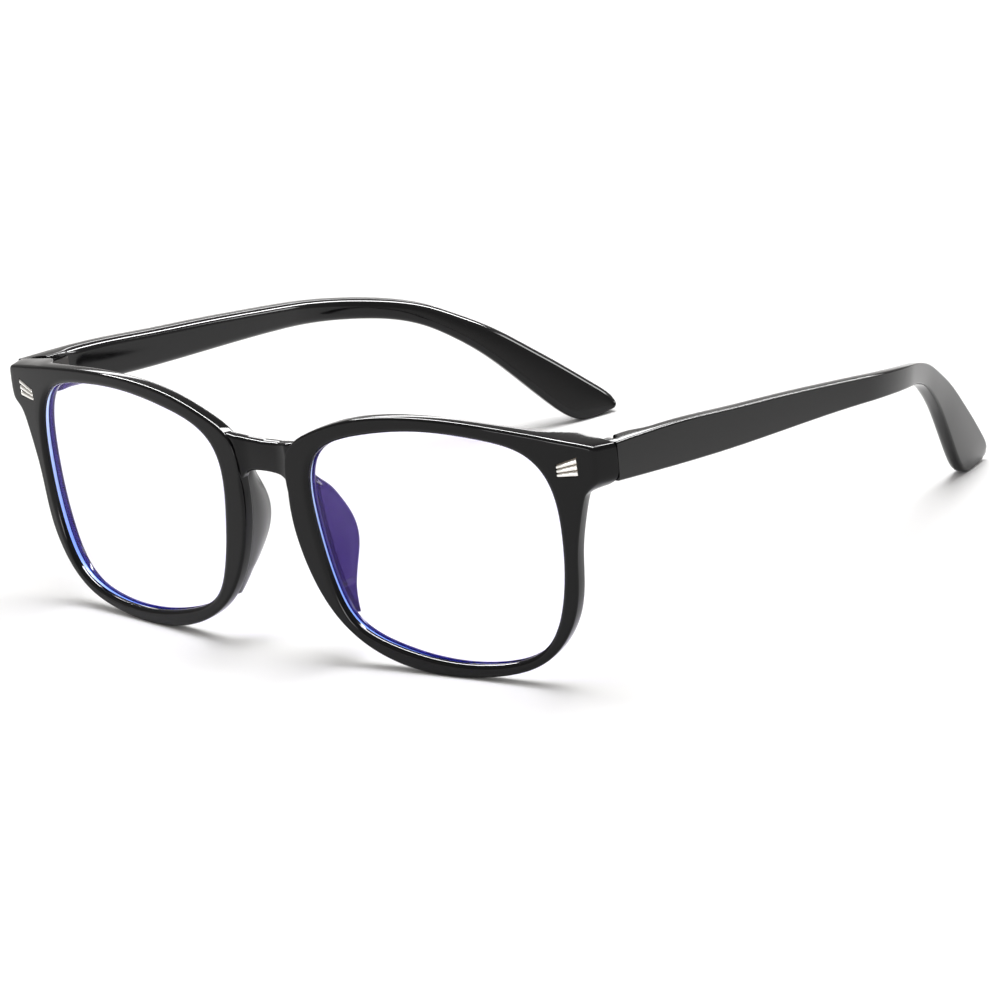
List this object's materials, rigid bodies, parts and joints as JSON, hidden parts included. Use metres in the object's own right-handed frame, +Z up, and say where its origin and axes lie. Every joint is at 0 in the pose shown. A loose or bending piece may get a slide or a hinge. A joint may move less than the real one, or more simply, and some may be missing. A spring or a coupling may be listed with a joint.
{
  "type": "blue light glasses",
  "caption": "Full-rim rectangular eyeglasses in gloss black plastic with clear lenses, fin nose pads, small metal rivet plaques, and temples that fold on pinned hinges",
  "frame": {"origin": "the middle of the bounding box's bottom face, on the table that the open glasses stand on", "axes": "+X is the wearer's left, the front faces -Y, the temples run back along +Y, +Z is up"},
  "size_m": [0.144, 0.1548, 0.0481],
  "materials": {
    "frame_plastic": "polished opaque black plastic",
    "pad_plastic": "satin-gloss black plastic",
    "lens": "clear lens with a coating that reflects violet-blue",
    "plaque": "polished bright metal",
    "hinge": "plain steel"
  },
  "bodies": {
    "front": {"front_frame": "frame_plastic", "lens_left": "lens", "lens_right": "lens", "nose_pad_left": "pad_plastic", "nose_pad_right": "pad_plastic", "rivet_plaque_left": "plaque", "rivet_plaque_right": "plaque", "hinge_front_leaf_left": "hinge", "hinge_front_leaf_right": "hinge", "hinge_screw_left": "hinge", "hinge_screw_right": "hinge"},
    "temple_left": {"temple_left": "frame_plastic", "hinge_temple_leaf_left": "hinge"},
    "temple_right": {"temple_right": "frame_plastic", "hinge_temple_leaf_right": "hinge"}
  },
  "joints": [
    {"name": "temple_left_fold", "type": "hinge", "parent": "front", "child": "temple_left", "pos_m": [0.0683, -0.06223, 0.04172], "axis": [0, 0, 1], "range_deg": [0, 81]},
    {"name": "temple_right_fold", "type": "hinge", "parent": "front", "child": "temple_right", "pos_m": [-0.0683, -0.06223, 0.04172], "axis": [0, 0, -1], "range_deg": [0, 72]}
  ]
}
